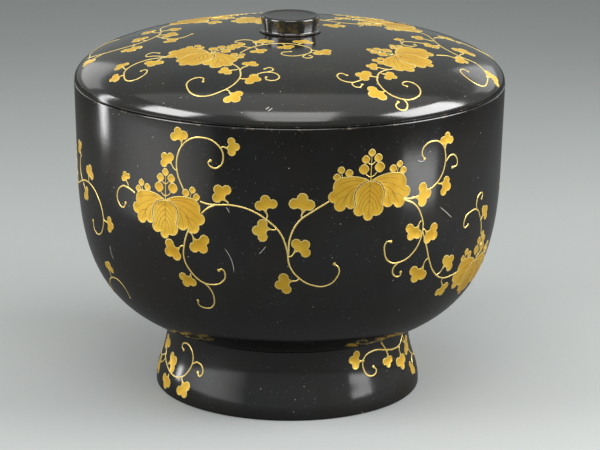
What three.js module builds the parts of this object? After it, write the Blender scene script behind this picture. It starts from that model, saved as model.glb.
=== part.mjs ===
// Lidded lacquer bowl: a turned wooden bowl on a flared foot, with a low domed lid and a disc knob.
// Millimetres, +Z up. The origin is on the table, under the middle of the foot.
import * as THREE from 'three';

// Bowl
const mouthRadius = 134.6; // outer radius at the rim
const mouthHeight = 197; // rim above the table
const rimRound = 0.8; // softened outer edge of the rim
const wallThickness = 9; // wood, cloth and lacquer together
const wallTaper = 0.025; // outward lean of the plain wall
const shoulderHeight = 140; // where the round belly turns into the plain wall
const wallSweep = 57; // pull of the belly curve at the shoulder
const bellySweep = 42; // pull of the belly curve at the foot
const undersideAngle = THREE.MathUtils.degToRad(20); // rise of the underside where it leaves the foot
const floorDip = 3.5; // the flat floor inside lies this far below the start of the belly
const floorThickness = 9;

// Foot
const footRadius = 84.2; // outer radius on the table
const footNeckRadius = 77; // outer radius under the bowl
const footHeight = 42; // seat of the bowl above the table
const flareLow = 15; // pull of the flare where it stands on the table
const flareHigh = 23; // pull of the flare under the bowl
const footWall = 8;
const footEdgeRound = 1.2; // softened edge on the table
const footCove = 5; // hollow curve under the ledge inside the foot
const spigotRadius = 62; // round spigot under the bowl, glued into the foot
const spigotWall = 9;
const spigotDepth = 10;

// Mouth ring, the standing lip that keeps the lid in place
const rimSeat = 6; // width of the rim that the lid sits on
const ringSink = 12; // how deep the ring is let into the wall
const lipHeight = 4.5; // how far it stands above the rim
const lipRound = 0.8;

// Lid
const lidInset = 0.2; // the lid's edge lies this far inside the rim's
const lidRise = 29.5; // crown above the lid's edge round
const lidEdgeRound = 0.8;
const lidThickness = 8; // wood at the middle of the crown
const crownFullness = 2.4; // 2 is an ellipse, more is a fuller shoulder

// Knob
const knobRadius = 18.4; // outer radius at the top edge
const knobWaist = 17.4; // outer radius above the base
const knobBase = 19.2; // outer radius of the spread base
const knobHeight = 10;
const knobBaseHeight = 1.6;
const knobEdgeRound = 1.5;
const knobDish = 0.6; // hollow of the top
const tenonRadius = 8;
const tenonLength = 5;

// Fits
const glueLine = 0.3; // between pieces that are glued together
const seamGap = 0.3; // between the rim and the closed lid
const lidClearance = 0.6; // between the mouth ring and the lid

// Fineness of the turned surfaces
const turnSteps = 48;
const curveSteps = 12;
const roundSteps = 3;

const point = (radius, height) => new THREE.Vector2(radius, height);

// Points of a circular edge round about its centre, between two angles in quarter turns.
function edgeRound(centreRadius, centreHeight, size, fromQuarter, toQuarter) {
  const start = fromQuarter * Math.PI / 2;
  const end = toQuarter * Math.PI / 2;
  const arc = new THREE.EllipseCurve(centreRadius, centreHeight, size, size, start, end, end < start);
  return arc.getPoints(roundSteps);
}

// Points of a dome from its edge to its crown, as far in as innerRadius.
function domeCurve(edgeRadius, edgeHeight, rise, innerRadius) {
  const lastAngle = Math.acos((innerRadius / edgeRadius) ** (crownFullness / 2));
  const points = [];
  for (let step = 0; step <= curveSteps; step += 1) {
    const angle = lastAngle * step / curveSteps;
    const radius = edgeRadius * Math.cos(angle) ** (2 / crownFullness);
    points.push(point(radius, edgeHeight + rise * Math.sin(angle)));
  }
  return points;
}

// One turned piece: the profile runs anticlockwise about the solid, so that its faces point out.
function turnedPiece(name, profile, finish) {
  const geometry = new THREE.LatheGeometry(profile, turnSteps);
  geometry.rotateX(Math.PI / 2);
  const piece = new THREE.Mesh(geometry, new THREE.MeshStandardMaterial(finish));
  piece.name = name;
  return piece;
}

// Sizes that two or more pieces share
const shoulderRadius = mouthRadius - wallTaper * (mouthHeight - shoulderHeight);
const spigotBottom = footHeight - spigotDepth;
const ringInner = mouthRadius - wallThickness;
const ringOuter = mouthRadius - rimSeat;
const lipTop = mouthHeight + lipHeight;
const seamHeight = mouthHeight + seamGap;
const lidRadius = mouthRadius - lidInset;
const crownTop = seamHeight + lidEdgeRound + lidRise;

// The belly, from the foot to the shoulder.
function bellyCurve() {
  const start = point(footNeckRadius, footHeight);
  const end = point(shoulderRadius, shoulderHeight);
  const alongUnderside = point(Math.cos(undersideAngle), Math.sin(undersideAngle));
  const alongWall = point(wallTaper, 1).normalize();
  return new THREE.CubicBezierCurve(
    start,
    start.clone().addScaledVector(alongUnderside, bellySweep),
    end.clone().addScaledVector(alongWall, -wallSweep),
    end,
  );
}

// The inner face of the belly, one wall thickness inside the outer one, from the shoulder down.
function innerBelly(belly) {
  const points = [];
  for (let step = curveSteps; step >= 0; step -= 1) {
    const share = step / curveSteps;
    const along = belly.getTangent(share);
    const inward = point(-along.y, along.x);
    points.push(belly.getPoint(share).addScaledVector(inward, wallThickness));
  }
  return points;
}

function bowlBody() {
  const belly = bellyCurve();
  const inner = innerBelly(belly);
  const floorEdge = inner[inner.length - 1];
  const floorHeight = floorEdge.y - floorDip;
  const floorRun = floorDip / Math.tan(undersideAngle);
  const floorCurve = new THREE.QuadraticBezierCurve(
    floorEdge,
    point(floorEdge.x - floorRun, floorHeight),
    point(floorEdge.x - 2 * floorRun, floorHeight),
  );
  const ceiling = floorHeight - floorThickness;
  const ledgeHeight = mouthHeight - ringSink;
  const ledgeInner = ringInner - wallTaper * ringSink;
  const profile = [
    point(0, ceiling),
    point(spigotRadius - spigotWall, ceiling),
    point(spigotRadius - spigotWall, spigotBottom),
    point(spigotRadius, spigotBottom),
    point(spigotRadius, footHeight),
    ...belly.getPoints(curveSteps),
    ...edgeRound(mouthRadius - rimRound, mouthHeight - rimRound, rimRound, 0, 1),
    point(ringOuter + glueLine, mouthHeight),
    point(ringOuter + glueLine, ledgeHeight),
    point(ledgeInner, ledgeHeight),
    ...inner,
    ...floorCurve.getPoints(roundSteps).slice(1),
    point(0, floorHeight),
  ];
  return turnedPiece('bowl_body', profile, { color: 0x15100d, roughness: 0.22, metalness: 0 });
}

function mouthRing() {
  const bottom = mouthHeight - ringSink + glueLine;
  const profile = [
    point(ringInner, bottom),
    point(ringOuter, bottom),
    ...edgeRound(ringOuter - lipRound, lipTop - lipRound, lipRound, 0, 1),
    ...edgeRound(ringInner + lipRound, lipTop - lipRound, lipRound, 1, 2),
    point(ringInner, bottom),
  ];
  return turnedPiece('mouth_ring', profile, { color: 0x18110e, roughness: 0.25, metalness: 0 });
}

function footRing() {
  const top = footHeight - glueLine;
  const bore = spigotRadius + glueLine;
  const coveRadius = footNeckRadius - footWall;
  const flare = new THREE.CubicBezierCurve(
    point(footRadius, footEdgeRound),
    point(footRadius, footEdgeRound + flareLow),
    point(footNeckRadius, top - flareHigh),
    point(footNeckRadius, top),
  );
  const profile = [
    point(footRadius - footWall, 0),
    ...edgeRound(footRadius - footEdgeRound, footEdgeRound, footEdgeRound, -1, 0),
    ...flare.getPoints(curveSteps).slice(1),
    point(bore, top),
    point(bore, spigotBottom),
    ...edgeRound(coveRadius - footCove, spigotBottom - footCove, footCove, 1, 0),
    point(footRadius - footWall, 0),
  ];
  return turnedPiece('foot_ring', profile, { color: 0x17110e, roughness: 0.24, metalness: 0 });
}

function lidDome() {
  const bore = ringOuter + lidClearance;
  const recessTop = lipTop + lidClearance;
  const hollowRise = crownTop - lidThickness - recessTop;
  const socketRadius = tenonRadius + glueLine;
  const socketBottom = crownTop - tenonLength - glueLine;
  const profile = [
    ...domeCurve(ringInner, recessTop, hollowRise, 0).reverse(),
    point(bore, recessTop),
    point(bore, seamHeight),
    ...edgeRound(lidRadius - lidEdgeRound, seamHeight + lidEdgeRound, lidEdgeRound, -1, 0),
    ...domeCurve(lidRadius, seamHeight + lidEdgeRound, lidRise, socketRadius).slice(1),
    point(socketRadius, socketBottom),
    point(0, socketBottom),
  ];
  return turnedPiece('lid_dome', profile, { color: 0x1a120d, roughness: 0.2, metalness: 0 });
}

function lidKnob() {
  const base = crownTop + glueLine;
  const top = base + knobHeight;
  const flareTop = base + knobBaseHeight;
  const profile = [
    point(0, base - tenonLength),
    point(tenonRadius, base - tenonLength),
    point(tenonRadius, base),
    point(knobBase, base),
    ...new THREE.QuadraticBezierCurve(
      point(knobBase, base),
      point(knobWaist, base),
      point(knobWaist, flareTop),
    ).getPoints(roundSteps).slice(1),
    ...edgeRound(knobRadius - knobEdgeRound, top - knobEdgeRound, knobEdgeRound, 0, 1),
    point(knobRadius - 2 * knobEdgeRound, top - knobDish),
    point(0, top - knobDish),
  ];
  return turnedPiece('lid_knob', profile, { color: 0x15100d, roughness: 0.2, metalness: 0 });
}

const bowl = new THREE.Group();
bowl.add(bowlBody(), mouthRing(), footRing());

const lid = new THREE.Group();
lid.add(lidDome(), lidKnob());

const lacquerBowl = new THREE.Group();
lacquerBowl.add(bowl, lid);

export default lacquerBowl;
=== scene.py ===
import math

import bmesh
import bpy
from mathutils import Matrix, Vector
from mathutils.geometry import interpolate_bezier


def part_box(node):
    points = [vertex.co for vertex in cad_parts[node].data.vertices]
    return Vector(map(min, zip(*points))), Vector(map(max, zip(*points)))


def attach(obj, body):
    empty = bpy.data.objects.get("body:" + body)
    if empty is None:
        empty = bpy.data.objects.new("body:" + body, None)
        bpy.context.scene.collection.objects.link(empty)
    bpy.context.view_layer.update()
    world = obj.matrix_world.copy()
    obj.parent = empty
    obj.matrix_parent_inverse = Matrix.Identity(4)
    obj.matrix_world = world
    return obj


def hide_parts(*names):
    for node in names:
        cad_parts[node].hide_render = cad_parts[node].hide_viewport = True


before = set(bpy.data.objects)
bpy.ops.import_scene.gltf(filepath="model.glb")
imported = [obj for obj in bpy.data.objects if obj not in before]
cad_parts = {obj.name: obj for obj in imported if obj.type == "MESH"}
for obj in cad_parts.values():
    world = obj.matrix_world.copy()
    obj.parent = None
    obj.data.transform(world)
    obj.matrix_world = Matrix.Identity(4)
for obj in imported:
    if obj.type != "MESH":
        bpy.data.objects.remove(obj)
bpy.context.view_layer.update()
mm = 0.001  # ornament drawings are in millimetres, everything else in metres

bowlLow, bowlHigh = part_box("bowl_body")
ringLow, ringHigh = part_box("mouth_ring")
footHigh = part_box("foot_ring")[1]
lidLow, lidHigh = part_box("lid_dome")
knobLow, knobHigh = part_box("lid_knob")
print("frame loaded, mouth radius", round(bowlHigh.x, 4))


# node helpers

def newMaterial(name):
    material = bpy.data.materials.new(name)
    material.use_nodes = True
    tree = material.node_tree
    return material, tree, tree.nodes["Principled BSDF"]


def addNode(tree, kind, settings=None, inputs=None):
    node = tree.nodes.new(kind)
    for key, value in (settings or {}).items():
        setattr(node, key, value)
    for key, value in (inputs or {}).items():
        if isinstance(value, bpy.types.NodeSocket):
            tree.links.new(value, node.inputs[key])
        else:
            node.inputs[key].default_value = value
    return node


def calc(tree, operation, first, second=0.0, third=0.0):
    inputs = {0: first, 1: second, 2: third}
    return addNode(tree, "ShaderNodeMath", {"operation": operation}, inputs).outputs[0]


def spread(tree, value, low, high, toLow=0.0, toHigh=1.0):
    inputs = {"Value": value, "From Min": low, "From Max": high, "To Min": toLow, "To Max": toHigh}
    return addNode(tree, "ShaderNodeMapRange", None, inputs).outputs["Result"]


def blendColour(tree, amount, first, second):
    inputs = {"Factor": amount, "A": first, "B": second}
    node = tree.nodes.new("ShaderNodeMix")
    node.data_type = "RGBA"
    for socket in node.inputs:
        if socket.enabled and socket.name in inputs:
            value = inputs[socket.name]
            if isinstance(value, bpy.types.NodeSocket):
                tree.links.new(value, socket)
            else:
                socket.default_value = value
    return [socket for socket in node.outputs if socket.enabled][0]


def objectPoint(tree):
    return addNode(tree, "ShaderNodeTexCoord").outputs["Object"]


def noise(tree, point, scale, detail=3.0, roughness=0.5):
    inputs = {"Vector": point, "Scale": scale, "Detail": detail, "Roughness": roughness}
    return addNode(tree, "ShaderNodeTexNoise", None, inputs).outputs["Fac"]


def addBump(tree, shader, height, strength, depth):
    bump = addNode(tree, "ShaderNodeBump", None, {"Strength": strength, "Distance": depth, "Height": height})
    tree.links.new(bump.outputs["Normal"], shader.inputs["Normal"])


# lacquer

lacquerFinish = {
    "bowl": {
        "black": (0.0042, 0.004, 0.0037, 1), "brown": (0.0105, 0.0078, 0.0056, 1),
        "roughLow": 0.11, "roughHigh": 0.19,
        "rubAndHighlightHeights": [footHigh.z + 0.0008, bowlHigh.z - 0.0006],  # at the foot joint and the rim: rubbed wear, and painted highlight lines along these edges
        "rubAndHighlightWidth": 0.0007,
        "marks": [  # millimetres along the rim, height, lean in degrees, length, bend
            (-36.2, 115.2, -70, 16.5, 1.63), (-36.5, 146.6, -58, 4.1, 0.14), (-15.5, 123.2, 51, 6.7, -0.23),
            (106, 136.7, -38, 14.7, 0.17), (-131.8, 103.8, -81, 9.6, -1.07), (83.7, 172.8, -8, 5.4, -0.91),
            (252, 118, 42, 10, 0.6), (338, 152, -62, 7, 0.3), (-296, 108, 76, 13, 1.1),
        ],
    },
    "lid": {
        "black": (0.0055, 0.005, 0.0042, 1), "brown": (0.016, 0.0118, 0.0078, 1),
        "roughLow": 0.1, "roughHigh": 0.19,
        "rubAndHighlightHeights": [lidLow.z + 0.0005, knobHigh.z - 0.0095],  # at the seam and under the knob: rubbed wear, and painted highlight lines along these edges
        "rubAndHighlightWidth": 0.0006,
        "marks": [(-13.4, 207.6, 30, 2.4, 0.1), (-11.6, 207, 30, 3, 0.1)],
    },
    "lip": {
        "black": (0.005, 0.0042, 0.004, 1), "brown": (0.012, 0.008, 0.006, 1),
        "roughLow": 0.24, "roughHigh": 0.36,
        # the band on the lip's top is rubbed wear only
        "rubAndHighlightHeights": [ringHigh.z - 0.0001], "rubAndHighlightWidth": 0.0005, "marks": [],
    },
}
lacquerWearAndHighlight = {
    "haze": (0.0075, 0.0088, 0.0092, 1),
    "dust": [  # cells in a metre, share of a cell, share of cells left clean, colour
        (190, 0.06, 0.72, (0.34, 0.345, 0.33, 1)), (520, 0.12, 0.78, (0.12, 0.128, 0.13, 1)),
    ],
    # the pale rub colour is rubbed wear, and also painted highlight along the rim, seam, knob base and foot
    # joint
    "rubAndHighlight": (0.16, 0.13, 0.1, 1), "mark": (0.5, 0.48, 0.44, 1), "markWidth": 0.33 * mm,
    "brownCloud": (16, 6, 0.62), "hazeCloud": (26, 7, 0.72),  # noise scale, detail and roughness
    "rubAndHighlightCloud": (160, 4, 0.7), "glossCloud": (48, 5, 0.6), "wipeCloud": (1, 4, 0.6),
    "wipeAround": 90, "wipeUp": 35,  # wiping marks are narrow around the wall and long up it
    "ior": 1.5, "specular": 0.8,
    "ringScale": 420, "grainScale": 420, "bumpStrength": 0.12, "bumpDepth": 0.12 * mm,
}


def scratchMark(tree, across, height, mark):
    middle, markHeight, degrees, length, bend = mark
    angle, half = math.radians(degrees), length * mm / 2
    dx = calc(tree, "SUBTRACT", across, middle * mm)
    dz = calc(tree, "SUBTRACT", height, markHeight * mm)
    cosine, sine = math.cos(angle), math.sin(angle)
    share = calc(tree, "MULTIPLY_ADD", dx, cosine / half, calc(tree, "MULTIPLY", dz, sine / half))
    side = calc(tree, "MULTIPLY_ADD", dx, -sine, calc(tree, "MULTIPLY", dz, cosine))
    arc = calc(tree, "MULTIPLY_ADD", calc(tree, "MULTIPLY", share, share), bend * mm, -bend * mm)
    away = calc(tree, "ABSOLUTE", calc(tree, "ADD", side, arc))
    line = spread(tree, away, 0.0, lacquerWearAndHighlight["markWidth"], 1.0, 0.0)
    fade = spread(tree, calc(tree, "ABSOLUTE", share), 0.7, 1.0, 1.0, 0.0)  # thinner at both ends
    return calc(tree, "MULTIPLY", line, fade)


def lacquerMaterial(name, finish):
    material, tree, shader = newMaterial(name)
    point = objectPoint(tree)
    axes = addNode(tree, "ShaderNodeSeparateXYZ", None, {"Vector": point})
    x, y, z = axes.outputs["X"], axes.outputs["Y"], axes.outputs["Z"]
    turn = calc(tree, "ARCTAN2", x, calc(tree, "MULTIPLY", y, -1.0))  # 0 at the front
    browned = spread(tree, noise(tree, point, *lacquerWearAndHighlight["brownCloud"]), 0.38, 0.72)
    base = blendColour(tree, browned, finish["black"], finish["brown"])
    hazy = spread(tree, noise(tree, point, *lacquerWearAndHighlight["hazeCloud"]), 0.48, 0.72)
    base = blendColour(tree, hazy, base, lacquerWearAndHighlight["haze"])

    for cell, size, clean, colour in lacquerWearAndHighlight["dust"]:
        cells = addNode(tree, "ShaderNodeTexVoronoi", None, {"Vector": point, "Scale": cell})
        tint = addNode(tree, "ShaderNodeSeparateColor", None, {"Color": cells.outputs["Color"]})
        picked = calc(tree, "GREATER_THAN", tint.outputs["Red"], clean)
        dot = calc(tree, "LESS_THAN", cells.outputs["Distance"], size)
        base = blendColour(tree, calc(tree, "MULTIPLY", picked, dot), base, colour)

    # pale dashed bands at set heights: rubbed wear, and painted highlight along the edges and joints they
    # line
    broken = spread(tree, noise(tree, point, *lacquerWearAndHighlight["rubAndHighlightCloud"]), 0.56, 0.66)
    for height in finish["rubAndHighlightHeights"]:
        away = calc(tree, "ABSOLUTE", calc(tree, "SUBTRACT", z, height))
        band = spread(tree, away, 0.0, finish["rubAndHighlightWidth"], 1.0, 0.0)
        base = blendColour(tree, calc(tree, "MULTIPLY", band, broken), base, lacquerWearAndHighlight["rubAndHighlight"])
    across = calc(tree, "MULTIPLY", turn, bowlHigh.x)
    for mark in finish["marks"]:
        base = blendColour(tree, scratchMark(tree, across, z, mark), base, lacquerWearAndHighlight["mark"])
    tree.links.new(base, shader.inputs["Base Color"])

    wipe = addNode(tree, "ShaderNodeCombineXYZ", None, {
        "X": calc(tree, "MULTIPLY", turn, lacquerWearAndHighlight["wipeAround"]),
        "Y": calc(tree, "MULTIPLY", z, lacquerWearAndHighlight["wipeUp"]),
        "Z": 0.0,
    })
    streak = noise(tree, wipe.outputs["Vector"], *lacquerWearAndHighlight["wipeCloud"])
    cloudy = noise(tree, point, *lacquerWearAndHighlight["glossCloud"])
    gloss = calc(tree, "MULTIPLY_ADD", cloudy, 0.6, calc(tree, "MULTIPLY", streak, 0.4))
    rough = spread(tree, gloss, 0.35, 0.65, finish["roughLow"], finish["roughHigh"])
    tree.links.new(rough, shader.inputs["Roughness"])
    shader.inputs["IOR"].default_value = lacquerWearAndHighlight["ior"]
    shader.inputs["Specular IOR Level"].default_value = lacquerWearAndHighlight["specular"]

    ringInputs = {"W": z, "Scale": lacquerWearAndHighlight["ringScale"], "Detail": 2.0}  # faint turning marks
    ring = addNode(tree, "ShaderNodeTexNoise", {"noise_dimensions": "1D"}, ringInputs).outputs["Fac"]
    grain = noise(tree, point, lacquerWearAndHighlight["grainScale"])
    height = calc(tree, "MULTIPLY_ADD", ring, 0.35, calc(tree, "MULTIPLY", grain, 0.65))
    addBump(tree, shader, height, lacquerWearAndHighlight["bumpStrength"], lacquerWearAndHighlight["bumpDepth"])
    return material


bowlLacquer = lacquerMaterial("bowl_lacquer", lacquerFinish["bowl"])
lidLacquer = lacquerMaterial("lid_lacquer", lacquerFinish["lid"])
lipLacquer = lacquerMaterial("lip_lacquer", lacquerFinish["lip"])


# gold

goldFinish = {
    "field": {"pale": (0.88, 0.56, 0.055, 1), "deep": (0.74, 0.4, 0.02, 1),
              "roughLow": 0.34, "roughHigh": 0.5},
    "line": {"pale": (0.96, 0.75, 0.27, 1), "deep": (0.88, 0.62, 0.14, 1),
             "roughLow": 0.34, "roughHigh": 0.48},
    "vein": {"pale": (0.42, 0.21, 0.024, 1), "deep": (0.32, 0.15, 0.014, 1),
             "roughLow": 0.45, "roughHigh": 0.6},
}
goldPowder = {
    "drift": (55, 3, 0.6), "grain": (2600, 2, 0.7),  # denser and thinner powder, and its single grains
    "metallic": 0.6, "coat": 0.3, "coatRoughness": 0.28,  # a thin clear lacquer lies over the powder
    "bumpStrength": 0.25, "bumpDepth": 0.08 * mm,
}


def goldMaterial(name, finish):
    material, tree, shader = newMaterial(name)
    point = objectPoint(tree)
    drift = noise(tree, point, *goldPowder["drift"])
    grain = noise(tree, point, *goldPowder["grain"])
    amount = calc(tree, "MULTIPLY_ADD", grain, 0.45, calc(tree, "MULTIPLY", drift, 0.75))
    colour = blendColour(tree, spread(tree, amount, 0.45, 0.75), finish["pale"], finish["deep"])
    tree.links.new(colour, shader.inputs["Base Color"])
    shader.inputs["Metallic"].default_value = goldPowder["metallic"]
    shader.inputs["Coat Weight"].default_value = goldPowder["coat"]
    shader.inputs["Coat Roughness"].default_value = goldPowder["coatRoughness"]
    rough = spread(tree, grain, 0.3, 0.7, finish["roughLow"], finish["roughHigh"])
    tree.links.new(rough, shader.inputs["Roughness"])
    addBump(tree, shader, grain, goldPowder["bumpStrength"], goldPowder["bumpDepth"])
    return material


goldField = goldMaterial("gold_field", goldFinish["field"])
goldLine = goldMaterial("gold_line", goldFinish["line"])
goldVein = goldMaterial("gold_vein", goldFinish["vein"])
print("materials made")


# turned wood

turning = {"steps": 160, "curveSteps": 40, "floorSteps": 10, "knobSteps": 8, "roundSteps": 6, "weld": 1e-6,
           "smoothAngle": math.radians(32)}


def arcStretch(centreRadius, centreHeight, size, fromDegrees, toDegrees):
    points = []
    for step in range(turning["roundSteps"] + 1):
        angle = math.radians(fromDegrees + (toDegrees - fromDegrees) * step / turning["roundSteps"])
        points.append(Vector((centreRadius + size * math.cos(angle), centreHeight + size * math.sin(angle))))
    return points


def finishPiece(bm, name, body, materials):
    bmesh.ops.recalc_face_normals(bm, faces=bm.faces)
    mesh = bpy.data.meshes.new(name)
    bm.to_mesh(mesh)
    bm.free()
    for material in materials:
        mesh.materials.append(material)
    mesh.shade_smooth()
    mesh.set_sharp_from_angle(angle=turning["smoothAngle"])
    piece = bpy.data.objects.new(name, mesh)
    bpy.context.scene.collection.objects.link(piece)
    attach(piece, body)
    return piece


def turnPiece(name, outline, closed, body, material):
    bm = bmesh.new()
    verts = [bm.verts.new((radius, 0, height)) for radius, height in outline]
    ends = verts[1:] + verts[:1] if closed else verts[1:]
    edges = [bm.edges.new(pair) for pair in zip(verts, ends)]
    bmesh.ops.spin(bm, geom=verts + edges, axis=(0, 0, 1), cent=(0, 0, 0), angle=math.tau,
                   steps=turning["steps"], use_merge=True)
    bmesh.ops.remove_doubles(bm, verts=bm.verts, dist=turning["weld"])
    return finishPiece(bm, name, body, [material])


bowl = {
    "mouthRadius": bowlHigh.x, "mouthHeight": bowlHigh.z, "rimRound": 0.0008,
    "wall": 0.009, "wallTaper": 0.025, "shoulderHeight": 0.14,
    "wallSweep": 0.057, "bellySweep": 0.042, "undersideAngle": math.radians(20),
    "neckRadius": 0.077, "neckHeight": 0.042,
    "floorDip": 0.0035, "floorThickness": 0.009,
    "spigotRadius": 0.062, "spigotWall": 0.009, "spigotBottom": bowlLow.z,
    "ringSink": 0.012, "glueLine": 0.0003,
}


def bellyStretch(inset):
    wallHeight = bowl["mouthHeight"] - bowl["shoulderHeight"]
    shoulderRadius = bowl["mouthRadius"] - bowl["wallTaper"] * wallHeight
    start = Vector((bowl["neckRadius"], bowl["neckHeight"]))
    end = Vector((shoulderRadius, bowl["shoulderHeight"]))
    underside = Vector((math.cos(bowl["undersideAngle"]), math.sin(bowl["undersideAngle"])))
    wall = Vector((bowl["wallTaper"], 1)).normalized()
    points = interpolate_bezier(start, start + underside * bowl["bellySweep"],
                                end - wall * bowl["wallSweep"], end, turning["curveSteps"])
    moved = []
    for index, place in enumerate(points):
        along = points[min(index + 1, len(points) - 1)] - points[max(index - 1, 0)]
        moved.append(place + Vector((-along.y, along.x)).normalized() * inset)
    return moved


def bowlOutline():
    inner = bellyStretch(bowl["wall"])[::-1]
    floorEdge = inner[-1]
    floorHeight = floorEdge.y - bowl["floorDip"]
    floorRun = bowl["floorDip"] / math.tan(bowl["undersideAngle"])
    floorTurn = Vector((floorEdge.x - floorRun, floorHeight))
    floorStart = Vector((floorEdge.x - 2 * floorRun, floorHeight))
    floorCurve = interpolate_bezier(floorEdge, floorEdge.lerp(floorTurn, 2 / 3),
                                    floorStart.lerp(floorTurn, 2 / 3), floorStart, turning["floorSteps"])
    ceiling = floorHeight - bowl["floorThickness"]
    spigotInner = bowl["spigotRadius"] - bowl["spigotWall"]
    ledge = bowl["mouthHeight"] - bowl["ringSink"]
    slot = ringHigh.x + bowl["glueLine"]
    outline = [(0, ceiling), (spigotInner, ceiling), (spigotInner, bowl["spigotBottom"]),
               (bowl["spigotRadius"], bowl["spigotBottom"]), (bowl["spigotRadius"], bowl["neckHeight"])]
    outline += bellyStretch(0)
    outline += arcStretch(bowl["mouthRadius"] - bowl["rimRound"], bowl["mouthHeight"] - bowl["rimRound"],
                          bowl["rimRound"], 0, 90)
    outline += [(slot, bowl["mouthHeight"]), (slot, ledge),
                (bowl["mouthRadius"] - bowl["wall"] - bowl["wallTaper"] * bowl["ringSink"], ledge)]
    outline += inner + floorCurve[1:] + [(0, floorHeight)]
    return outline


bowlPiece = turnPiece("bowl_shell", bowlOutline(), False, "bowl", bowlLacquer)
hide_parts("bowl_body")

lip = {"inner": bowl["mouthRadius"] - bowl["wall"], "outer": ringHigh.x, "low": ringLow.z,
       "top": ringHigh.z, "round": 0.0008}
lipOutline = [(lip["inner"], lip["low"]), (lip["outer"], lip["low"])]
lipOutline += arcStretch(lip["outer"] - lip["round"], lip["top"] - lip["round"], lip["round"], 0, 90)
lipOutline += arcStretch(lip["inner"] + lip["round"], lip["top"] - lip["round"], lip["round"], 90, 180)
lipPiece = turnPiece("standing_lip", lipOutline, True, "bowl", lipLacquer)
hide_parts("mouth_ring")

foot = {
    "radius": footHigh.x, "neckRadius": bowl["neckRadius"], "top": footHigh.z, "wall": 0.008,
    "edgeRound": 0.0012, "flareLow": 0.015, "flareHigh": 0.023, "cove": 0.005,
    "bore": bowl["spigotRadius"] + bowl["glueLine"],
}


def flareStretch():
    return interpolate_bezier(Vector((foot["radius"], foot["edgeRound"])),
                              Vector((foot["radius"], foot["edgeRound"] + foot["flareLow"])),
                              Vector((foot["neckRadius"], foot["top"] - foot["flareHigh"])),
                              Vector((foot["neckRadius"], foot["top"])), turning["curveSteps"])


coveRadius = foot["neckRadius"] - foot["wall"]
footOutline = [(foot["radius"] - foot["wall"], 0)]
footOutline += arcStretch(foot["radius"] - foot["edgeRound"], foot["edgeRound"], foot["edgeRound"], -90, 0)
footOutline += flareStretch()[1:]
footOutline += [(foot["bore"], foot["top"]), (foot["bore"], bowl["spigotBottom"])]
footOutline += arcStretch(coveRadius - foot["cove"], bowl["spigotBottom"] - foot["cove"], foot["cove"], 90, 0)
footPiece = turnPiece("flared_foot", footOutline, True, "bowl", bowlLacquer)
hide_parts("foot_ring")

lid = {
    "radius": lidHigh.x, "seam": lidLow.z, "edgeRound": 0.0008, "rise": 0.0295, "fullness": 2.4,
    "thickness": 0.008, "clearance": 0.0006, "tenonRadius": 0.008, "tenonLength": 0.005,
}
lid["crownTop"] = lid["seam"] + lid["edgeRound"] + lid["rise"]


def domeStretch(edgeRadius, edgeHeight, rise, innerRadius):
    lastAngle = math.acos((innerRadius / edgeRadius) ** (lid["fullness"] / 2))
    points = []
    for step in range(turning["curveSteps"] + 1):
        angle = lastAngle * step / turning["curveSteps"]
        radius = edgeRadius * math.cos(angle) ** (2 / lid["fullness"])
        points.append(Vector((max(radius, innerRadius), edgeHeight + rise * math.sin(angle))))
    return points


recessTop = lip["top"] + lid["clearance"]
lidBore = lip["outer"] + lid["clearance"]
socketRadius = lid["tenonRadius"] + bowl["glueLine"]
socketBottom = lid["crownTop"] - lid["tenonLength"] - bowl["glueLine"]
lidOutline = domeStretch(lip["inner"], recessTop, lid["crownTop"] - lid["thickness"] - recessTop, 0)[::-1]
lidOutline += [(lidBore, recessTop), (lidBore, lid["seam"])]
lidOutline += arcStretch(lid["radius"] - lid["edgeRound"], lid["seam"] + lid["edgeRound"],
                         lid["edgeRound"], -90, 0)
lidOutline += domeStretch(lid["radius"], lid["seam"] + lid["edgeRound"], lid["rise"], socketRadius)[1:]
lidOutline += [(socketRadius, socketBottom), (0, socketBottom)]
lidPiece = turnPiece("lid_shell", lidOutline, False, "lid", lidLacquer)
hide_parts("lid_dome")

knob = {
    "base": knobHigh.x, "waist": 0.0174, "radius": 0.0184, "top": knobHigh.z,
    "baseHeight": 0.0016, "baseSweep": 0.001, "waistSweep": 0.0008, "edgeRound": 0.0015,
    "dish": 0.0006, "dishTurns": (1.3, 1.7, 2.5, 4),  # edge rounds in to where the top sinks and lies flat
}
knobFoot = lid["crownTop"] + bowl["glueLine"]
waistFoot = knobFoot + knob["baseHeight"]
dishFloor = knob["top"] - knob["dish"]
dishEdge, dishLean, dishSag, dishFlat = (
    knob["radius"] - share * knob["edgeRound"] for share in knob["dishTurns"])
knobOutline = [(0, knobLow.z), (lid["tenonRadius"], knobLow.z), (lid["tenonRadius"], knobFoot)]
knobOutline += interpolate_bezier(Vector((knob["base"], knobFoot)),
                                  Vector((knob["base"] - knob["baseSweep"], knobFoot)),
                                  Vector((knob["waist"], waistFoot - knob["waistSweep"])),
                                  Vector((knob["waist"], waistFoot)), turning["knobSteps"])
knobOutline += arcStretch(knob["radius"] - knob["edgeRound"], knob["top"] - knob["edgeRound"],
                          knob["edgeRound"], 0, 90)
knobOutline += interpolate_bezier(Vector((dishEdge, knob["top"])), Vector((dishLean, knob["top"])),
                                  Vector((dishSag, dishFloor)), Vector((dishFlat, dishFloor)),
                                  turning["knobSteps"])
knobOutline += [(0, dishFloor)]
knobPiece = turnPiece("disc_knob", knobOutline, False, "lid", lidLacquer)
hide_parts("lid_knob")
print("turned pieces made")


# surfaces that carry ornament: flat drawings are wrapped onto them

def makeTrack(points):
    lengths = [0.0]
    for first, second in zip(points, points[1:]):
        lengths.append(lengths[-1] + (second - first).length)
    return {"points": points, "lengths": lengths}


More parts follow.
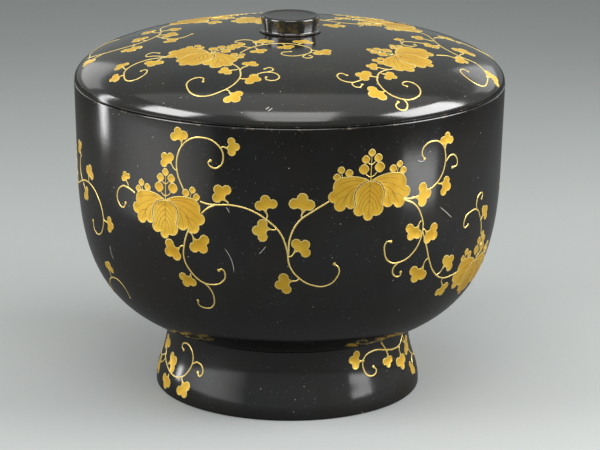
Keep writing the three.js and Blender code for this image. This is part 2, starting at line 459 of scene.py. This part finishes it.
def trackPoint(track, distance):
    lengths, points = track["lengths"], track["points"]
    distance = min(max(distance, 0.0), lengths[-1] - 1e-6)
    index = max(i for i, length in enumerate(lengths) if length <= distance)
    share = (distance - lengths[index]) / (lengths[index + 1] - lengths[index])
    before, after = points[max(index - 1, 0)], points[min(index + 2, len(points) - 1)]
    startDirection = (points[index + 1] - before).normalized()
    endDirection = (after - points[index]).normalized()
    along = startDirection.lerp(endDirection, share).normalized()
    return points[index].lerp(points[index + 1], share), along


wallTop = Vector((bowl["mouthRadius"], bowl["mouthHeight"]))
outerWall = [wallTop] + bellyStretch(0)[::-1]
crown = domeStretch(lid["radius"], lid["seam"] + lid["edgeRound"], lid["rise"], 0)
surfaces = {
    "bowl": {"track": makeTrack(outerWall), "around": bowl["mouthRadius"], "body": "bowl"},
    "foot": {"track": makeTrack(flareStretch()[::-1]), "around": foot["neckRadius"], "body": "bowl"},
    "lid": {"track": makeTrack(crown[::-1]), "around": None, "body": "lid"},
}


def wrapPoint(surface, across, down, lift):
    if surface["around"] is None:  # lid drawings are seen from above, with the middle at 0, 0
        distance, turn = math.hypot(across, down), math.atan2(across, -down)
    else:
        distance, turn = down, across * mm / surface["around"]
    place, along = trackPoint(surface["track"], distance * mm)
    place = place + Vector((-along.y, along.x)) * lift * mm
    return Vector((place.x * math.sin(turn), -place.x * math.cos(turn), place.y))


def placeMotif(surface, centre, degrees, size=1.0):
    across, down = centre
    angle = math.radians(degrees)
    widen, upward = 1.0, 1
    if surface["around"] is not None:
        radius = trackPoint(surface["track"], down * mm)[0].x
        widen, upward = surface["around"] / radius, -1

    def move(point):
        x = (point.x * math.cos(angle) - point.y * math.sin(angle)) * size
        y = (point.x * math.sin(angle) + point.y * math.cos(angle)) * size
        return wrapPoint(surface, across + x * widen, down + y * upward, point.z)
    return move


def addMotif(bm, mesh, move):
    wrapped = mesh.copy()
    for vert in wrapped.vertices:
        vert.co = move(vert.co)
    bm.from_mesh(wrapped)
    bpy.data.meshes.remove(wrapped)


# flat motifs, drawn in millimetres

relief = {"sink": 0.12, "edge": 0.12, "border": 0.17, "field": 0.13, "slope": 0.12, "line": 0.3, "cell": 4.0}


def bulgedOutline(corners, bulges, steps=6):
    points = []
    for index, (startX, startY) in enumerate(corners):
        endX, endY = corners[(index + 1) % len(corners)]
        start, end, bulge = Vector((startX, startY)), Vector((endX, endY)), bulges[index]
        half = (end - start).length / 2
        outward = Vector((end.y - start.y, start.x - end.x)).normalized()
        if abs(bulge) < 0.02:  # a straight stretch
            points.append(start)
            continue
        radius = half * (1 + bulge * bulge) / (2 * bulge)
        centre = (start + end) / 2 + outward * (half * bulge - radius)
        sweep = 4 * math.atan(bulge)
        arm = start - centre
        for step in range(steps):
            angle = sweep * step / steps
            points.append(centre + Matrix.Rotation(angle, 2) @ arm)
    return points


def raisedMotif(name, outline, cell=None):
    bm = bmesh.new()
    face = bm.faces.new([bm.verts.new((place.x, place.y, -relief["sink"])) for place in outline])
    grown = bmesh.ops.extrude_face_region(bm, geom=[face])["geom"]
    top = [part for part in grown if isinstance(part, bmesh.types.BMFace)]
    rise = Vector((0, 0, relief["sink"] + relief["edge"]))
    bmesh.ops.translate(bm, vec=rise, verts=[part for part in grown if isinstance(part, bmesh.types.BMVert)])
    bmesh.ops.recalc_face_normals(bm, faces=bm.faces)
    for face in bm.faces:
        face.material_index = 1
    bmesh.ops.inset_region(bm, faces=top, thickness=relief["slope"], depth=relief["border"] - relief["edge"],
                           use_even_offset=True)
    bmesh.ops.inset_region(bm, faces=top, thickness=relief["line"], use_even_offset=True)
    bmesh.ops.inset_region(bm, faces=top, thickness=relief["slope"], depth=relief["field"] - relief["border"],
                           use_even_offset=True)
    for face in top:
        face.material_index = 0
    if cell:
        for axis in (0, 1):
            low = min(vert.co[axis] for vert in bm.verts)
            high = max(vert.co[axis] for vert in bm.verts)
            for step in range(1, math.ceil((high - low) / cell)):
                normal = Vector((0, 0, 0))
                normal[axis] = 1
                bmesh.ops.bisect_plane(bm, geom=bm.verts[:] + bm.edges[:] + bm.faces[:],
                                       plane_co=normal * (low + step * cell), plane_no=normal)
    bmesh.ops.triangulate(bm, faces=[face for face in bm.faces if len(face.verts) > 4])
    mesh = bpy.data.meshes.new(name)
    bm.to_mesh(mesh)
    bm.free()
    return mesh


spray = {
    "centreCorners": [(0, 0), (-8.5, -14.2), (-4, -20.2), (2.2, -21.3), (7.4, -13.7)],
    "centreBulges": [0.55, 1.1, 1.15, 0.87, 0.62],
    "leftCorners": [(-0.45, 0.27), (-16, 3.4), (-22.6, -4.9), (-21.8, -12.2), (-14.6, -14.6),
                    (-8.95, -13.93)],
    "leftBulges": [0.17, 0.55, 0.95, 1.1, 0.75, -0.55],
    "rightCorners": [(-0.46, 0.25), (-16.8, 3.6), (-23.7, -5.1), (-22.9, -12.8), (-15.3, -15.3),
                     (-7.86, -13.45)],
    "rightBulges": [0.17, 0.55, 0.95, 1.1, 0.75, -0.62],  # drawn like the left leaf, then mirrored
    "buds": [(0.6, 17, 2.3), (-3.1, 13.2, 2.5), (4.7, 13.6, 2.6), (-4.2, 7.3, 3.1), (5.8, 7.9, 3.2),
             (-18, 7.6, 2.2), (-13.2, 5.5, 2.4), (-20.6, 3.4, 2.2),
             (14.6, 6.1, 2.4), (19, 8.4, 2.1), (21.6, 4.4, 2.2)],
    "stems": [[(0.2, -0.5), (0.4, 7), (0.6, 15.5)], [(0.3, 2.2), (-1.6, 3), (-3.4, 5)],
              [(0.3, 2.2), (2.4, 3.2), (4.4, 5.4)],
              [(0.5, 9.6), (-1.2, 10.6), (-2.2, 12)], [(0.5, 9.6), (2, 10.6), (3.4, 12)],
              [(-17, 2.5), (-17.4, 4), (-18, 6)], [(17.4, 3), (17.6, 4.6), (18.4, 6.6)]],
    "veins": [[(0, -1.5), (-0.2, -12), (-0.9, -22.4)],
              [(-0.1, -2.6), (-4.6, -6.2), (-7.6, -12.2)], [(0.1, -2.6), (4.3, -6.2), (7.1, -11.8)],
              [(-0.1, -5.6), (-4.4, -9.6), (-7.2, -16.4)], [(0.1, -5.6), (4, -9.6), (6.3, -15.8)],
              [(-0.2, -8.8), (-3.6, -12.2), (-5.8, -18.4)], [(0, -8.8), (3.2, -12.2), (4.9, -18)],
              [(-0.3, -12), (-2.4, -14.8), (-3.6, -18.4)], [(-0.1, -12), (1.8, -14.8), (2.4, -18.4)]],
    "sideVeins": [[(-2.4, -0.4), (-12, 0.9), (-20.5, -1.8)], [(-2.4, -0.8), (-13, -2.6), (-22.8, -8.6)],
                  [(-2.6, -1.2), (-12.4, -5.6), (-18.4, -15.2)], [(-4.5, -2), (-10.4, -7.2), (-12.3, -14.8)],
                  [(-15, -8.4), (-18.4, -9.6), (-21, -12.2)],
                  [(-13.4, -6.6), (-15.2, -10.4), (-15.6, -13.6)]],
    "rightVeinSize": 1.05,
}


def leafOutline(side):
    return bulgedOutline(spray[f"{side}Corners"], spray[f"{side}Bulges"])


def flipped(outline):
    return [Vector((-place.x, place.y)) for place in reversed(outline)]


centreLeaf = raisedMotif("centre_leaf", leafOutline("centre"), relief["cell"])
leftLeaf = raisedMotif("left_leaf", leafOutline("left"), relief["cell"])
rightLeaf = raisedMotif("right_leaf", flipped(leafOutline("right")), relief["cell"])

bud = {"sides": 16, "corners": 4, "cornerSwell": 0.05}
budOutline = []
for step in range(bud["sides"]):
    angle = math.tau * step / bud["sides"] + math.pi / 2
    reach = 1 + bud["cornerSwell"] * math.cos(bud["corners"] * (angle - math.pi / 2))
    budOutline.append(Vector((math.cos(angle), math.sin(angle))) * reach)

trefoil = {  # stalk at the bottom, one lobe up and one to each side, the right one hooked
    "corners": [(0.5, -4.6), (2.4, -1.6), (3, 3.7), (-3.1, 3.1), (-2.2, -2.7), (-0.5, -4.6)],
    "bulges": [-0.55, 1.7, 1.08, 1.43, -0.15, 0.0],
    "stalkReach": 4.4, "stalkBend": 0.14,
}
trefoilOutline = bulgedOutline(trefoil["corners"], trefoil["bulges"])
trefoilMeshes = {1: raisedMotif("trefoil", trefoilOutline),
                 -1: raisedMotif("trefoil_mirrored", flipped(trefoilOutline))}


# vines: a curve through a few points, as a low round strip

vineShape = {
    "width": 0.97, "stalkWidth": 0.78, "stemWidth": 0.66, "veinWidth": 0.36,
    "height": 0.18, "veinHeight": 0.05, "blob": 0.95,
    "tipShare": 0.88, "fineTipShare": 0.6,  # how much of the width is left at the tip
    "weld": 1e-4,
}


def drawLines(paths, width, tipShare):
    curve = bpy.data.curves.new("lines", "CURVE")
    curve.dimensions = "3D"
    curve.bevel_depth = width / 2
    curve.bevel_resolution = 1
    curve.resolution_u = 6
    curve.use_fill_caps = True
    for path in paths:
        spline = curve.splines.new("BEZIER")
        spline.bezier_points.add(len(path) - 1)
        for index, (x, y) in enumerate(path):
            knot = spline.bezier_points[index]
            knot.co = (x, y, 0)
            knot.handle_left_type = knot.handle_right_type = "AUTO"
            knot.radius = 1 - (1 - tipShare) * index / (len(path) - 1)
    drawing = bpy.data.objects.new("lines", curve)
    bpy.context.scene.collection.objects.link(drawing)
    bpy.context.view_layer.update()
    mesh = bpy.data.meshes.new_from_object(drawing.evaluated_get(bpy.context.evaluated_depsgraph_get()))
    bpy.data.objects.remove(drawing)
    bpy.data.curves.remove(curve)
    bm = bmesh.new()
    bm.from_mesh(mesh)
    bmesh.ops.remove_doubles(bm, verts=bm.verts, dist=vineShape["weld"])  # end caps come loose from a curve
    bm.to_mesh(mesh)
    bm.free()
    return mesh


def turned(surface, across, down, turnBy):
    if surface["around"] is not None:
        return across + turnBy * surface["around"] / mm, down
    return (across * math.cos(turnBy) - down * math.sin(turnBy),
            across * math.sin(turnBy) + down * math.cos(turnBy))


def addLines(bm, surface, paths, width, tipShare, turnBy):
    mesh = drawLines(paths, width, tipShare)
    squash = 2 * vineShape["height"] / width

    def move(point):
        across, down = turned(surface, point.x, point.y, turnBy)
        return wrapPoint(surface, across, down, point.z * squash)
    addMotif(bm, mesh, move)
    bpy.data.meshes.remove(mesh)


def addFineLines(bm, paths, width, height, base, move):  # lines that belong to a motif
    mesh = drawLines(paths, width, vineShape["fineTipShare"])
    squash = 2 * height / width
    addMotif(bm, mesh, lambda point: move(Vector((point.x, point.y, base + point.z * squash))))
    bpy.data.meshes.remove(mesh)


def addBlob(bm, surface, place, turnBy):
    ball = bmesh.ops.create_uvsphere(bm, u_segments=8, v_segments=6, radius=vineShape["blob"])
    squash = vineShape["height"] / vineShape["blob"]
    for vert in ball["verts"]:
        across, down = turned(surface, place[0] + vert.co.x, place[1] + vert.co.y, turnBy)
        vert.co = wrapPoint(surface, across, down, vert.co.z * squash)


def addSpray(move, vines, leaves, buds, veins):
    for mesh in (leftLeaf, rightLeaf, centreLeaf):
        addMotif(leaves, mesh, move)
    for x, y, size in spray["buds"]:
        mesh = raisedMotif("bud", [place * size + Vector((x, y)) for place in budOutline])
        addMotif(buds, mesh, move)
        bpy.data.meshes.remove(mesh)
    addFineLines(vines, spray["stems"], vineShape["stemWidth"], vineShape["height"], 0.0, move)
    grow = spray["rightVeinSize"]
    rightVeins = [[(-x * grow, y * grow) for x, y in path] for path in spray["sideVeins"]]
    leafVeins = spray["veins"] + spray["sideVeins"] + rightVeins
    addFineLines(veins, leafVeins, vineShape["veinWidth"], vineShape["veinHeight"], relief["field"], move)


def stalkPath(vinePoint, leafPoint, size, side):
    start, leaf = Vector(vinePoint), Vector(leafPoint)
    reach = trefoil["stalkReach"] * size
    end = leaf + (start - leaf).normalized() * min(reach, (start - leaf).length)
    along = end - start
    middle = start.lerp(end, 0.5) + Vector((-along.y, along.x)) * trefoil["stalkBend"] * side
    return [start, middle, end, leaf.lerp(end, 0.5)]


def makeOrnament(surfaceName, drawing):
    surface = surfaces[surfaceName]
    upward = 1 if surface["around"] is None else -1
    vines, leaves, buds, trefoils, veins = (bmesh.new() for _ in range(5))
    for run in drawing["runs"]:
        curls = list(run.get("curls", {}).values())
        joins = list(run.get("joins", {}).values())
        smallLeaves = run.get("trefoils", [])
        stalks = [stalkPath(*leaf) for leaf in smallLeaves]
        for turnDegrees in run.get("turns", [0]):
            turnBy = math.radians(turnDegrees)
            lean = turnDegrees if surface["around"] is None else 0
            if curls:
                addLines(vines, surface, curls, vineShape["width"], vineShape["tipShare"], turnBy)
            for path in curls:
                addBlob(vines, surface, path[-1], turnBy)
            if joins:
                addLines(vines, surface, joins, vineShape["width"], 1.0, turnBy)
            if stalks:
                addLines(vines, surface, stalks, vineShape["stalkWidth"], 1.0, turnBy)
            for vinePoint, leafPoint, size, side in smallLeaves:
                sideways, away = vinePoint[0] - leafPoint[0], (leafPoint[1] - vinePoint[1]) * upward
                degrees = math.degrees(math.atan2(sideways, away)) + lean
                centre = turned(surface, *leafPoint, turnBy)
                addMotif(trefoils, trefoilMeshes[side], placeMotif(surface, centre, degrees, size))
            for across, down, degrees in run.get("sprays", []):
                centre = turned(surface, across, down, turnBy)
                addSpray(placeMotif(surface, centre, degrees + lean), vines, leaves, buds, veins)
    pieces = [("vines", vines, [goldLine]), ("spray_leaves", leaves, [goldField, goldLine]),
              ("flower_buds", buds, [goldField, goldLine]), ("small_leaves", trefoils, [goldField, goldLine]),
              ("leaf_veins", veins, [goldVein])]
    for kind, bm, materials in pieces:
        if bm.verts:
            finishPiece(bm, f"{surfaceName}_{kind}", surface["body"], materials)
        else:
            bm.free()


# ornament on the bowl: millimetres along the rim from the front, and down the wall from the rim

bowlDrawing = {"runs": [{
    "turns": [0, 180],  # the same run covers the back
    "sprays": [(-78, 49, 0), (49, 33, 0), (151, 101.5, -8)],
    "curls": {
        "upperLeft": [(-65, 41), (-69, 31), (-68, 19), (-62, 11), (-52, 8), (-43, 11), (-39, 18),
                      (-42, 25), (-46.6, 25.2), (-48.4, 22.6), (-47, 21.4)],
        "left": [(-102, 49), (-108, 47), (-114, 47), (-119, 53), (-117, 59), (-113, 60), (-111, 57)],
        "leftEdge": [(-176, 58), (-165, 55), (-153, 55), (-143, 60), (-137, 71), (-139, 79), (-146, 85),
                     (-153, 84), (-154, 78)],
        "lowLeft": [(-172, 134), (-162, 128), (-155, 121), (-148, 116), (-140, 113), (-132, 114),
                    (-128, 119), (-128, 125)],
        "lowerLeft": [(-62, 65), (-65, 74), (-66, 84), (-62, 92), (-55, 98), (-48, 99), (-42, 97),
                      (-39, 92), (-41, 88), (-43, 89)],
        "lowerLeftBranch": [(-54, 98), (-50, 102), (-48, 108), (-50, 115), (-55, 117), (-60, 115),
                            (-60, 112)],
        "centre": [(-44, 48), (-33, 47.5), (-22, 50), (-12, 56), (-5, 63), (-1, 73), (1, 84), (6, 91),
                   (15, 96.5), (24, 97), (30, 92), (31, 86), (28, 83)],
        "upperRight": [(88, 44), (94, 42), (100, 37), (103, 30), (103, 23), (100, 17), (93, 14), (86, 16),
                       (84, 20), (86, 24)],
        "upperRightBranch": [(104, 28), (108, 25), (113, 27), (114, 32), (110, 33)],
        "lowerRight": [(72, 47), (80, 51), (85, 58), (87, 66), (85, 75), (80, 82), (72, 86), (64, 85),
                       (60, 78), (61, 72), (64, 72)],
        "lowerRightBranch": [(70, 86.5), (67, 90), (69, 95), (73, 95), (73, 93)],
        "rightEdge": [(151, 84), (149, 77), (146, 72), (141, 66), (133, 65), (126, 68), (126, 74),
                      (130, 73)],
        "rightEdgeBranch": [(140, 66), (139, 61), (142, 56.5), (147, 57), (146, 60)],
    },
    "joins": {
        "centreUpper": [(-54, 47), (-49, 48), (-44, 48)],
        "centreLower": [(-53, 54), (-49, 50.5), (-44, 48)],
        "centreToRight": [(24, 44), (14, 50), (6, 56), (1, 66), (0, 77)],
        "rightStem": [(71, 46), (77, 47), (83, 46)],
        "toEdgeSpray": [(87, 69), (91, 79), (95, 89), (101, 98), (111, 104), (120, 104.5), (130, 103)],
        "leftEdgeUp": [(-172, 57.5), (-177, 50), (-175, 42)],
        "toNextRun": [(174, 104), (192, 116), (215, 129), (238, 135), (251, 134)],
    },
    "trefoils": [  # point on the vine, middle of the leaf, size, side (-1 is the mirror image)
        ((-69, 30), (-75.5, 24.5), 0.82, -1), ((-65, 14.5), (-67, 9), 0.88, -1),
        ((-40.3, 13), (-34.2, 12.2), 0.8, -1), ((-108, 46.5), (-110, 41), 0.6, 1),
        ((-157.5, 53.5), (-155, 48), 0.9, 1), ((-169, 57), (-164, 62.5), 0.8, 1),
        ((-136.5, 73), (-130, 74.5), 0.75, 1), ((-173, 42), (-176, 37), 0.8, 1),
        ((-146, 115), (-142, 106.5), 0.75, 1), ((-62, 66.5), (-55.5, 73), 1.08, -1),
        ((-66, 76), (-73, 79.5), 1.05, 1), ((-62, 93.5), (-64.5, 97.5), 0.88, 1),
        ((-36, 47), (-40, 41.5), 1, 1), ((-13, 54.5), (-13.5, 46.5), 0.97, 1),
        ((-7, 60.5), (-15, 61.5), 1, -1), ((8, 54), (8, 46), 1.12, -1), ((0, 78), (7, 72.5), 1, 1),
        ((7, 92), (-1.5, 95), 1, -1), ((76.5, 47), (85, 46), 1.08, -1),
        ((102.5, 20.5), (103.5, 15.5), 0.82, 1), ((97, 40), (103.5, 43), 0.87, 1),
        ((85.5, 62), (80.5, 67.5), 0.98, 1), ((87, 67.5), (93, 71), 1, -1),
        ((93.5, 87), (87.5, 95.5), 1.08, 1), ((104, 100.4), (112.5, 94.5), 1, 1),
        ((111, 104), (114.5, 112.5), 0.85, 1), ((147.5, 73.5), (152, 70.5), 0.85, 1),
    ],
}, {
    "sprays": [(-221, 53, 6), (228, 58, 0)],  # at the sides, just out of sight from the front
    "joins": {"leftSprayStem": [(-176, 58), (-188, 62), (-199, 62)]},
}]}

# ornament on the foot: millimetres along the neck from the front, and down from the neck

footDrawing = {"runs": [{
    "turns": [0, 180],
    "curls": {
        "left": [(-104, 21), (-95, 25), (-84, 28), (-74, 27), (-68, 21), (-66, 13), (-69, 7), (-75, 5),
                 (-79, 8), (-77, 10)],
        "leftBranch": [(-66, 16), (-61, 14), (-56, 18), (-58, 22), (-60, 20)],
        "right": [(94, 4), (90, 8), (80, 9), (70, 7), (59, 5), (51, 8), (50, 15), (54, 20), (60, 18),
                  (58, 15)],
    },
    "joins": {"rightStem": [(66, 1), (70, 6), (73, 11)],
              "toNextRun": [(94, 4), (101, 12), (110, 21), (124, 25.5), (138, 21)]},
    "trefoils": [
        ((-102.5, 22), (-104.5, 14.5), 1, 1), ((-93, 24), (-88.5, 21.5), 1, 1),
        ((-87.5, 29), (-89, 33.5), 0.95, 1), ((-72.5, 27), (-69.5, 32.5), 1, 1),
        ((-101, 22.5), (-110.5, 30), 0.9, -1), ((51, 10), (45, 8.5), 0.85, 1),
        ((72.5, 8), (72, 14), 0.75, 1), ((88, 9.5), (87.5, 18), 1, 1), ((94, 7), (100, 12), 0.95, 1),
        ((110, 22.5), (102, 28), 0.8, 1),
    ],
}]}

# ornament on the lid: millimetres on the flattened dome, seen from above, front at the bottom

lidDrawing = {"runs": [
    {
        "turns": [0, 167],
        "sprays": [(-48.5, -53, -43), (64.5, -49, 71)],
        "curls": {
            "leftScroll": [(-37, -74), (-33, -78), (-29.5, -88), (-31, -101.5), (-41, -112), (-53, -113.5),
                           (-61, -103), (-59, -93.5), (-52, -93), (-51.5, -98)],
            "leftTendril": [(-22, -96), (-14, -91), (-7, -95), (-8, -102), (-14, -101), (-14, -98)],
            "leftTendrilCurl": [(-14, -91), (-10, -88), (-12, -84), (-15, -86)],
            "rightScroll": [(62, -74.5), (56.5, -79), (52.5, -87), (54.5, -102), (64, -109.5),
                            (75, -105.5), (78, -94), (71, -89), (67.5, -94), (70, -95)],
            "rightEdgeCurl": [(68, -109), (71, -113), (69, -118), (64, -117), (65, -113)],
            "rightTendril": [(43, -96), (36, -101), (29, -97), (30, -90), (34, -92)],
            "rightTendrilCurl": [(41, -98), (37, -103), (41, -106), (43, -102)],
        },
        "trefoils": [
            ((-29.5, -86.5), (-24, -78), 0.78, 1), ((-31, -85), (-37.5, -86.5), 0.8, 1),
            ((-29.5, -98.5), (-23, -100), 0.95, -1), ((-37.5, -110.5), (-33.5, -118), 0.95, 1),
            ((54.5, -84), (59, -85.5), 0.82, 1), ((53, -90.5), (45.5, -90), 1, -1),
            ((57.2, -105.3), (52.5, -109), 1.05, 1), ((58.5, -76), (50.5, -75), 0.75, 1),
        ],
    },
    {
        "sprays": [(-12, 45, 0)],
        "curls": {
            "outerLeft": [(-74, -52), (-88, -51), (-99, -58), (-101, -66), (-96.5, -77), (-88, -74.5),
                          (-87.5, -67), (-90, -67.5)],
            "outerLeftCurl": [(-75, -51), (-82, -46), (-88, -43), (-85, -38), (-80, -41)],
            "knobFront": [(-30, -56), (-25, -47), (-16, -38.5), (-3, -36), (6, -39.5), (13, -50),
                          (7, -61.5), (-2.5, -62.5), (-5, -57), (0.5, -54.5)],
            "knobFrontCurl": [(13, -55), (9.5, -60), (8, -65), (11, -67), (13.5, -64), (12, -62)],
            "knobLeftCurl": [(-20.5, -40), (-22, -30.5), (-26, -26), (-32, -27), (-33.5, -31),
                             (-30, -33.5)],
            "rightEdge": [(89, 10), (94, -9), (99, -17.5), (107, -24.5), (115.5, -27), (121.5, -35.5),
                          (123.5, -45), (117, -61), (105.5, -56), (106.5, -48), (109.5, -49)],
            "rightBack": [(93.5, -13), (81, -11), (69.5, -15.5), (71.5, -23.5), (78, -20), (77, -17)],
            "rightRim": [(137, 27), (128, 21), (119, 19.5), (111, 23), (105.5, 21.5), (107.5, 18)],
            "leftEdge": [(-82.5, 27), (-81.5, 18), (-83.5, 5.5), (-93.5, -7.5), (-107.5, -11.5),
                         (-117, -10), (-128, -2)],
            "leftEdgeUp": [(-127.5, -2), (-127, 16), (-118, 30), (-110, 27)],
            "leftTendril": [(-84, 5), (-75, -9), (-68, -10), (-61, -1)],
            "behindKnob": [(22, 40), (34, 32), (46, 29), (44, 24)],
        },
        "joins": {
            "rightStem": [(90, -34), (97, -30)],
            "rightEdgeStem": [(89, 10), (86.5, 19), (81, 27)],
            "leftEdgeStem": [(-82.5, 27), (-82, 36), (-75, 47)],
            "behindKnobStem": [(22, 40), (26, 45), (32, 48)],
            "behindKnobSpray": [(22, 40), (16, 42), (10.5, 41.5)],
        },
        "trefoils": [
            ((-78, -52), (-82, -58), 0.95, 1), ((-99.5, -58.5), (-103, -51.5), 0.75, 1),
            ((-101, -66), (-106, -66), 0.72, 1), ((-21.5, -45.5), (-19, -52.5), 0.8, 1),
            ((-23, -45), (-31, -40), 0.85, 1), ((-16.5, -38.5), (-16.5, -32), 0.95, 1),
            ((-4.5, -37.5), (-2.5, -44), 0.8, 1), ((5, -38.5), (7.5, -32.5), 0.95, 1),
            ((13, -49.5), (19, -54), 1, -1), ((97, -30), (104.5, -31.5), 0.95, 1),
            ((107, -28), (108.5, -9), 1.15, 1), ((122, -43.5), (127, -37.5), 1, 1),
            ((93.5, -8), (88, -13), 0.85, 1), ((90, 2), (81, 4), 0.8, 1), ((70, -17), (67.5, -10), 0.5, 1),
            ((90.5, 11), (99, 24), 0.85, 1), ((-97.5, -8), (-98, -19), 1, 1),
            ((-89, -4), (-94, 3), 0.9, 1), ((-82, 16), (-89.5, 25), 0.8, 1),
            ((-82, 20), (-74, 21), 0.8, 1), ((-82.5, 7), (-76, 3.5), 1, 1),
            ((-79.5, -5), (-74, -14), 0.75, 1), ((-59, 40.5), (-49, 36.5), 0.9, 1),
            ((-117, -9), (-126, -14), 0.9, 1), ((31, 33.8), (28, 21), 1.05, 1),
            ((32, 48), (33.5, 53.5), 0.8, 1),
        ],
    },
]}

makeOrnament("bowl", bowlDrawing)
makeOrnament("foot", footDrawing)
makeOrnament("lid", lidDrawing)
for leftover in (centreLeaf, leftLeaf, rightLeaf, *trefoilMeshes.values()):
    bpy.data.meshes.remove(leftover)
print("ornament made")


# floor, light and camera

studio = {
    "floorSize": 6.0, "floorRoughness": 0.8, "floorSpecular": 0.1,
    "floorMottle": (5, 4, 0.5), "mottleGain": 1.03,
    "floorColour": (0.34, 0.351, 0.345, 1), "worldColour": (0.62, 0.64, 0.64, 1),  # to the camera
    "floorDim": (0.1, 0.103, 0.101, 1), "worldDim": (0.3, 0.325, 0.318, 1),  # in the gloss
    "softboxes": {
        "rightPanel": {"place": (0.395, -0.205, 0.078), "size": (0.15, 0.06), "power": 0.023,
                       "aim": (0.08, -0.108, 0.078), "spread": 90},
        "rightBox": {"place": (0.88, -0.19, 0.61), "size": (0.7, 0.6), "power": 14.5,
                     "aim": (0.08, -0.1, 0.2)},
        "leftPanel": {"place": (-0.36, -0.18, 0.09), "size": (0.5, 0.12), "power": 0.045,
                      "aim": (-0.08, -0.1, 0.09), "spread": 80},
        "leftBox": {"place": (-0.82, -0.38, 0.625), "size": (0.48, 0.53), "power": 8.5,
                    "aim": (-0.07, -0.11, 0.2)},
        "leftStrip": {"place": (-0.765, 0.23, 0.27), "size": (0.09, 0.5), "power": 1.05,
                      "aim": (0, 0, 0.27)},
        "backLeft": {"place": (-0.58, 0.69, 0.46), "size": (0.5, 0.3), "power": 0.5, "aim": (-0.1, 0, 0.2)},
        "backRight": {"place": (0.57, 0.67, 0.48), "size": (0.5, 0.3), "power": 0.5, "aim": (0.1, 0, 0.2)},
        "overhead": {"place": (0.02, -0.8, 1.2), "size": (0.8, 1.1), "power": 8.5, "aim": (0, 0, 0.2)},
        "canopy": {"place": (0, -0.1, 1.55), "size": (2.7, 1.7), "power": 7.5, "aim": (0, -0.1, 0)},
    },
}
floorMesh = bpy.data.meshes.new("floor")
bm = bmesh.new()
bmesh.ops.create_grid(bm, x_segments=8, y_segments=8, size=studio["floorSize"] / 2)
bm.to_mesh(floorMesh)
bm.free()
floorMaterial, floorTree, floorShader = newMaterial("studio_floor")
mottle = noise(floorTree, objectPoint(floorTree), *studio["floorMottle"])
paler = tuple(part * studio["mottleGain"] for part in studio["floorColour"][:3]) + (1,)
seen = addNode(floorTree, "ShaderNodeLightPath").outputs["Is Camera Ray"]
seenColour = blendColour(floorTree, mottle, studio["floorColour"], paler)
floorBase = blendColour(floorTree, seen, studio["floorDim"], seenColour)
floorTree.links.new(floorBase, floorShader.inputs["Base Color"])
floorShader.inputs["Roughness"].default_value = studio["floorRoughness"]
floorShader.inputs["Specular IOR Level"].default_value = studio["floorSpecular"]
floorMesh.materials.append(floorMaterial)
floor = bpy.data.objects.new("floor", floorMesh)
bpy.context.scene.collection.objects.link(floor)

world = bpy.data.worlds.new("studio")
bpy.context.scene.world = world
world.use_nodes = True
worldTree = world.node_tree
worldSeen = addNode(worldTree, "ShaderNodeLightPath").outputs["Is Camera Ray"]
worldTree.links.new(blendColour(worldTree, worldSeen, studio["worldDim"], studio["worldColour"]),
                    worldTree.nodes["Background"].inputs["Color"])

for name, box in studio["softboxes"].items():
    lamp = bpy.data.lights.new(name, "AREA")
    lamp.shape = "RECTANGLE"
    lamp.size, lamp.size_y = box["size"]
    lamp.energy = box["power"]
    lamp.spread = math.radians(box.get("spread", 180))
    lampObject = bpy.data.objects.new(name, lamp)
    lampObject.visible_camera = False
    lampObject.location = box["place"]
    towards = Vector(box["aim"]) - Vector(box["place"])
    lampObject.rotation_euler = towards.to_track_quat("-Z", "Y").to_euler()
    bpy.context.scene.collection.objects.link(lampObject)

view = {
    "place": (0, -1.6529, 0.5623), "lens": 162, "sensor": 36,
    "downDegrees": 15.56, "rightDegrees": 0.252, "rollDegrees": 0.536,
}
cameraData = bpy.data.cameras.new("camera")
cameraData.lens = view["lens"]
cameraData.sensor_width = view["sensor"]
camera = bpy.data.objects.new("camera", cameraData)
aim = (Matrix.Rotation(-math.radians(view["rightDegrees"]), 4, "Z")
       @ Matrix.Rotation(math.pi / 2 - math.radians(view["downDegrees"]), 4, "X")
       @ Matrix.Rotation(math.radians(view["rollDegrees"]), 4, "Z"))
camera.matrix_world = Matrix.Translation(view["place"]) @ aim
bpy.context.scene.collection.objects.link(camera)
bpy.context.scene.camera = camera
bpy.context.scene.view_settings.view_transform = "Standard"
print("studio set")
